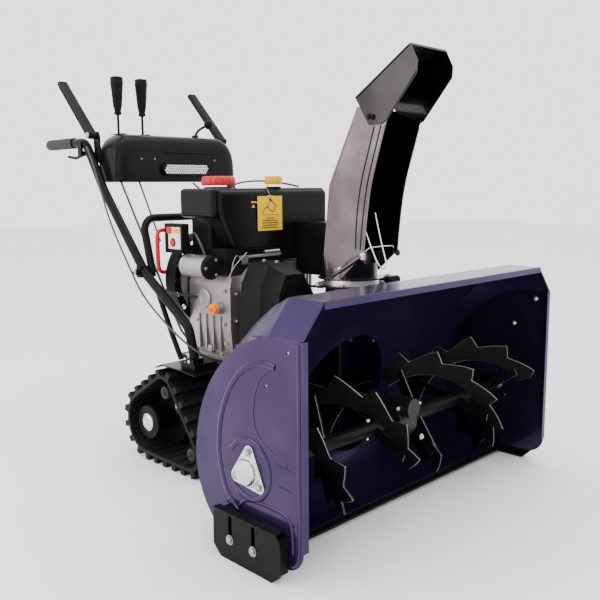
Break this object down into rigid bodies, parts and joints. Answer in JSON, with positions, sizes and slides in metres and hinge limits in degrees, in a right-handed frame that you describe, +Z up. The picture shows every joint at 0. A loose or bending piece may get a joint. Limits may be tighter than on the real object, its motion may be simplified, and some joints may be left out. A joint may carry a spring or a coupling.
{
  "type": "two stage snowblower",
  "caption": "Tracked two-stage snowblower with a wide auger housing, tall turning chute with hinged deflector, engine, and upright handles with levers.",
  "frame": {"origin": "on the ground under the centre of the overall box", "axes": "-Y is the way the machine drives and the intake faces, +X is its left-hand side, +Z is up"},
  "size_m": [1.0888, 1.5, 1.188],
  "materials": {
    "housing_paint": "gloss",
    "black_paint": "gloss",
    "black_frame": "satin",
    "zinc": "zinc plated",
    "steel": "bare",
    "cast_gearbox": "painted",
    "cast_alloy": "cast",
    "alloy_ring": "turned",
    "black_plastic": "moulded",
    "red_plastic": "gloss",
    "yellow_plastic": "gloss",
    "orange_plastic": "gloss",
    "cream_plastic": "moulded",
    "tag_card": "card",
    "lens": "clear",
    "rubber": "matt",
    "cable_sheath": "matt"
  },
  "bodies": {
    "machine": {"auger_housing": "housing_paint", "side_plates": "housing_paint", "scraper_bar": "steel", "impeller_housing": "housing_paint", "auger_bearings": "zinc", "hex_bolts": "zinc", "gearbox_case": "cast_gearbox", "chute_base": "black_plastic", "chute_ring": "alloy_ring", "frame_box": "black_frame", "engine_crankcase": "cast_alloy", "blower_housing": "black_plastic", "belt_cover": "black_plastic", "drive_belt": "rubber", "engine_shroud": "black_plastic", "starter_motor": "cast_alloy", "switch_box": "cream_plastic", "muffler": "steel", "muffler_guard": "black_frame", "track_belts": "rubber", "track_frames": "black_frame", "tension_rods": "zinc", "handle_tubes": "black_frame", "handle_hoop": "black_frame", "handle_braces": "black_frame", "grips": "rubber", "console": "black_plastic", "headlight_housing": "black_plastic", "headlight_lens": "lens", "control_cables": "cable_sheath"},
    "auger": {"auger_flight_right": "black_paint", "auger_flight_left": "black_paint", "auger_shaft": "steel", "shear_bolts": "zinc"},
    "second_stage": {"impeller": "black_paint", "impeller_shaft": "steel"},
    "crank": {"crankshaft": "steel"},
    "chute": {"chute_body": "black_paint", "chute_guard": "zinc"},
    "deflector_cap": {"deflector": "black_paint"},
    "skid_right": {"skid_shoe_right": "black_frame"},
    "skid_left": {"skid_shoe_left": "black_frame"},
    "red_cap": {"fuel_cap": "red_plastic"},
    "yellow_cap": {"oil_cap": "yellow_plastic"},
    "oil_stick": {"dipstick": "orange_plastic"},
    "button": {"starter_button": "red_plastic"},
    "pull_handle": {"recoil_handle": "red_plastic"},
    "wheel_rear_right": {"rear_wheel_right": "black_plastic"},
    "wheel_rear_left": {"rear_wheel_left": "black_plastic"},
    "sprocket_right": {"track_sprocket_right": "black_plastic"},
    "sprocket_left": {"track_sprocket_left": "black_plastic"},
    "idler_right": {"front_idler_right": "black_plastic"},
    "idler_left": {"front_idler_left": "black_plastic"},
    "paddle_right": {"clutch_lever_right": "black_plastic"},
    "paddle_left": {"clutch_lever_left": "black_plastic"},
    "trigger_right": {"steering_trigger_right": "black_frame"},
    "trigger_left": {"steering_trigger_left": "black_frame"},
    "lever_speed": {"speed_lever": "black_plastic"},
    "lever_chute": {"chute_lever": "black_plastic"},
    "tag": {"hang_tag": "tag_card"}
  },
  "joints": [
    {"name": "auger_spin", "type": "hinge", "parent": "machine", "child": "auger", "pos_m": [0, -0.58, 0.215], "axis": [1, 0, 0], "continuous": true},
    {"name": "impeller_spin", "type": "hinge", "parent": "machine", "child": "second_stage", "pos_m": [0, -0.345, 0.26], "axis": [0, -1, 0], "continuous": true},
    {"name": "crank_spin", "type": "hinge", "parent": "machine", "child": "crank", "pos_m": [-0.06, 0, 0.545], "axis": [0, -1, 0], "continuous": true},
    {"name": "chute_turn", "type": "hinge", "parent": "machine", "child": "chute", "pos_m": [0.07, -0.365, 0.577], "axis": [0, 0, 1], "range_deg": [-90, 90]},
    {"name": "deflector_tilt", "type": "hinge", "parent": "chute", "child": "deflector_cap", "pos_m": [0.07, -0.498, 1.008], "axis": [1, 0, 0], "range_deg": [-10, 45]},
    {"name": "speed_shift", "type": "hinge", "parent": "machine", "child": "lever_speed", "pos_m": [-0.187, 0.425, 0.89], "axis": [1, 0, 0], "range_deg": [-12, 12]},
    {"name": "chute_shift", "type": "hinge", "parent": "machine", "child": "lever_chute", "pos_m": [-0.095, 0.425, 0.89], "axis": [1, 0, 0], "range_deg": [-12, 12]},
    {"name": "paddle_right_press", "type": "hinge", "parent": "machine", "child": "paddle_right", "pos_m": [-0.266, 0.455, 1], "axis": [1, 0, 0], "range_deg": [-38, 0], "stiffness_Nm_per_rad": 2, "springref_deg": 34.38},
    {"name": "trigger_right_squeeze", "type": "hinge", "parent": "machine", "child": "trigger_right", "pos_m": [-0.268, 0.51, 0.944], "axis": [1, 0, 0], "range_deg": [0, 9], "stiffness_Nm_per_rad": 1, "springref_deg": -17.19},
    {"name": "rear_wheel_right_roll", "type": "hinge", "parent": "machine", "child": "wheel_rear_right", "pos_m": [-0.22, 0.142, 0.116], "axis": [1, 0, 0], "continuous": true},
    {"name": "sprocket_right_roll", "type": "hinge", "parent": "machine", "child": "sprocket_right", "pos_m": [-0.22, 0.045, 0.228], "axis": [1, 0, 0], "continuous": true},
    {"name": "idler_right_roll", "type": "hinge", "parent": "machine", "child": "idler_right", "pos_m": [-0.22, -0.078, 0.066], "axis": [1, 0, 0], "continuous": true},
    {"name": "skid_right_drop", "type": "slide", "parent": "machine", "child": "skid_right", "axis": [0, 0, -1], "range_m": [0, 0.05]},
    {"name": "paddle_left_press", "type": "hinge", "parent": "machine", "child": "paddle_left", "pos_m": [0.266, 0.455, 1], "axis": [1, 0, 0], "range_deg": [-38, 0], "stiffness_Nm_per_rad": 2, "springref_deg": 34.38},
    {"name": "trigger_left_squeeze", "type": "hinge", "parent": "machine", "child": "trigger_left", "pos_m": [0.268, 0.51, 0.944], "axis": [1, 0, 0], "range_deg": [0, 9], "stiffness_Nm_per_rad": 1, "springref_deg": -17.19},
    {"name": "rear_wheel_left_roll", "type": "hinge", "parent": "machine", "child": "wheel_rear_left", "pos_m": [0.22, 0.142, 0.116], "axis": [1, 0, 0], "continuous": true},
    {"name": "sprocket_left_roll", "type": "hinge", "parent": "machine", "child": "sprocket_left", "pos_m": [0.22, 0.045, 0.228], "axis": [1, 0, 0], "continuous": true},
    {"name": "idler_left_roll", "type": "hinge", "parent": "machine", "child": "idler_left", "pos_m": [0.22, -0.078, 0.066], "axis": [1, 0, 0], "continuous": true},
    {"name": "skid_left_drop", "type": "slide", "parent": "machine", "child": "skid_left", "axis": [0, 0, -1], "range_m": [0, 0.05]},
    {"name": "fuel_cap_turn", "type": "hinge", "parent": "machine", "child": "red_cap", "pos_m": [-0.095, 0.025, 0.85], "axis": [0, 0, 1], "range_deg": [0, 90]},
    {"name": "oil_cap_turn", "type": "hinge", "parent": "machine", "child": "yellow_cap", "pos_m": [0.075, -0.036, 0.85], "axis": [0, 0, 1], "range_deg": [0, 90]},
    {"name": "dipstick_turn", "type": "hinge", "parent": "machine", "child": "oil_stick", "pos_m": [-0.18, -0.052, 0.478], "axis": [1, 0, 0], "range_deg": [0, 180]},
    {"name": "starter_press", "type": "slide", "parent": "machine", "child": "button", "axis": [1, 0, 0], "range_m": [0, 0.003], "stiffness_N_per_m": 300, "springref_m": -0.003},
    {"name": "recoil_pull", "type": "slide", "parent": "machine", "child": "pull_handle", "axis": [-1, 0, 0], "range_m": [0, 0.01], "stiffness_N_per_m": 400, "springref_m": -0.01},
    {"name": "tag_swing", "type": "hinge", "parent": "machine", "child": "tag", "pos_m": [0.02, -0.0789, 0.804], "axis": [1, 0, 0], "range_deg": [-60, 0]}
  ],
  "couplings": [
    {"joint": "impeller_spin", "follows": "auger_spin", "ratio": 10},
    {"joint": "crank_spin", "follows": "auger_spin", "ratio": 20.9},
    {"joint": "sprocket_right_roll", "follows": "rear_wheel_right_roll", "ratio": 2},
    {"joint": "idler_right_roll", "follows": "rear_wheel_right_roll", "ratio": 2.316},
    {"joint": "sprocket_left_roll", "follows": "rear_wheel_left_roll", "ratio": 2},
    {"joint": "idler_left_roll", "follows": "rear_wheel_left_roll", "ratio": 2.316}
  ]
}
